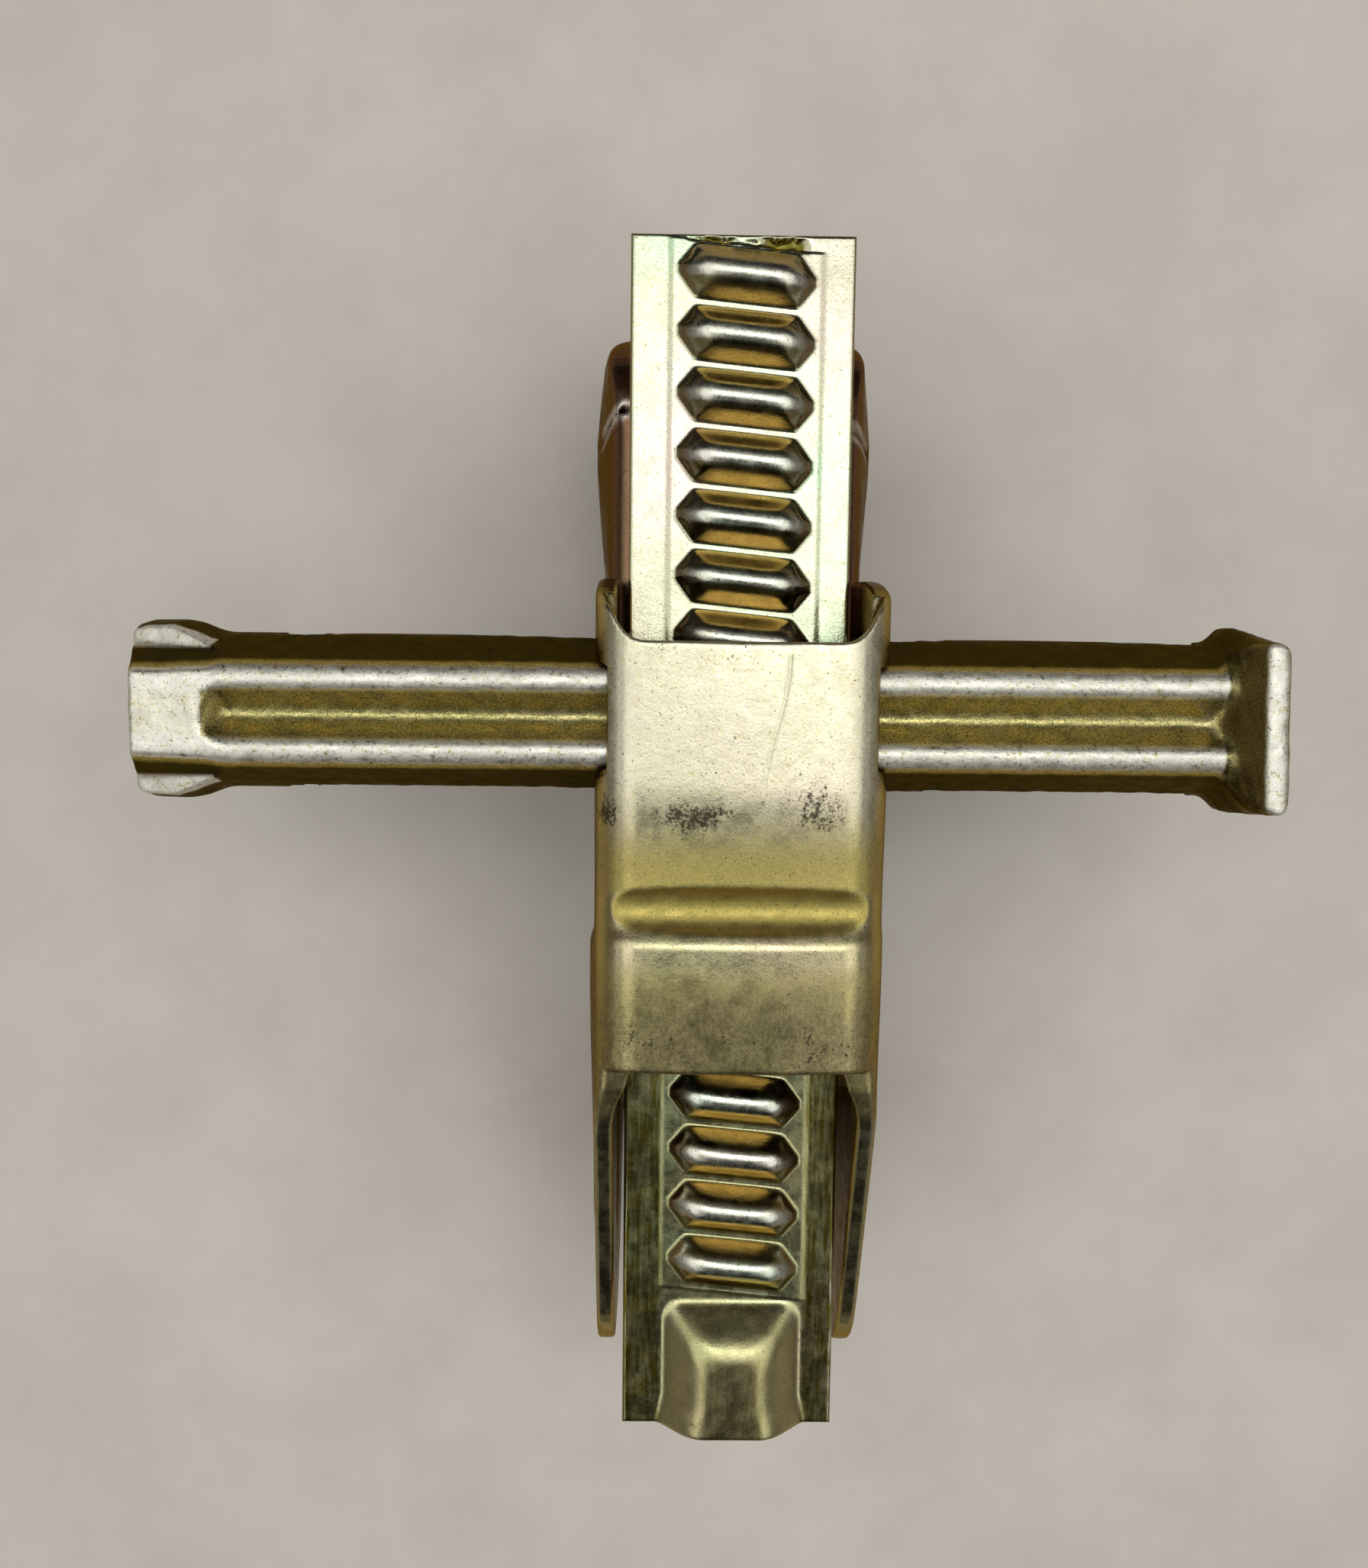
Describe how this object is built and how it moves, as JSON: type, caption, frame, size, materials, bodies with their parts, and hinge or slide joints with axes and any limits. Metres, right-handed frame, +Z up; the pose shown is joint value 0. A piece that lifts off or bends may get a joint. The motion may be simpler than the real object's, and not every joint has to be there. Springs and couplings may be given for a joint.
{
  "type": "formwork wedge coupler",
  "caption": "Adjustable wedge coupler that clamps two formwork panel frames together: a sleeve jaw, a toothed rack jaw and a hammer wedge across them.",
  "frame": {"origin": "middle of the coupler's plan outline with the wedge at its place in the picture, at the level of the claw tips", "axes": "+X along the wedge towards its hammer head, +Y along the rack towards the rack's jaw, +Z up out of the sleeve's back plate"},
  "size_m": [0.2898, 0.3194, 0.136],
  "materials": {
    "sleeve_zinc": "yellow zinc plated pressed steel, satin with fine grain",
    "rack_zinc": "pale yellow zinc plated pressed steel, iridescent green and pink",
    "wedge_zinc": "yellow zinc plated forging, rough forged skin, bright worn ridges",
    "jaw_bronze_zinc": "yellow zinc plated pressed steel, coppery brown where it is steep",
    "weld": "rippled weld bead under yellow zinc"
  },
  "bodies": {
    "sleeve": {"sleeve_shell": "sleeve_zinc", "sleeve_floor_plate": "sleeve_zinc", "sleeve_claw_plate": "sleeve_zinc", "floor_weld_left": "weld", "floor_weld_right": "weld", "sleeve_claw_weld_left": "weld", "sleeve_claw_weld_right": "weld"},
    "rack_jaw": {"rack_strap": "rack_zinc", "rack_jaw_shell": "jaw_bronze_zinc", "rack_spacer": "jaw_bronze_zinc", "spacer_weld_left": "weld", "spacer_weld_right": "weld", "rack_weld_left": "weld", "rack_weld_right": "weld", "rack_claw_plate": "jaw_bronze_zinc", "rack_claw_weld_left": "weld", "rack_claw_weld_right": "weld"},
    "wedge": {"wedge": "wedge_zinc"}
  },
  "joints": [
    {"name": "wedge_drive", "type": "slide", "parent": "sleeve", "child": "wedge", "axis": [1, 0, 0], "range_m": [-0.0825, 0.095]},
    {"name": "rack_travel", "type": "slide", "parent": "sleeve", "child": "rack_jaw", "axis": [0, 1, 0], "range_m": [-0.0082, 0.0095]}
  ],
  "couplings": [
    {"joint": "rack_travel", "follows": "wedge_drive", "ratio": 0.09805}
  ]
}
